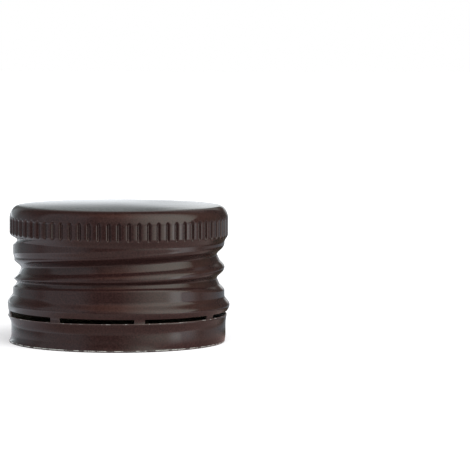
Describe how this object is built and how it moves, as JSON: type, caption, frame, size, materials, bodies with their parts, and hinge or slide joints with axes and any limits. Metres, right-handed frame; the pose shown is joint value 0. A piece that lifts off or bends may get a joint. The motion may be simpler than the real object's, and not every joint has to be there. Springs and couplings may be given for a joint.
{
  "type": "bottle cap",
  "caption": "Rolled-on aluminium screw cap with a knurled head, a rolled thread groove, a slotted tear-off band and a sealing liner.",
  "frame": {"origin": "centre of the open rim, on the surface the cap stands on", "axes": "+Z along the cap's axis, from the open rim to the closed top; +X to the right as seen from the front, -Y towards the viewer"},
  "size_m": [0.0288, 0.0288, 0.0178],
  "materials": {
    "lacquered_sheet": "dark brown gloss lacquer outside, olive lacquer inside, bare metal at the cut edges",
    "seal_compound": "smooth grey-green sealing compound"
  },
  "bodies": {
    "root": {"shell": "lacquered_sheet", "liner": "seal_compound"}
  },
  "joints": []
}
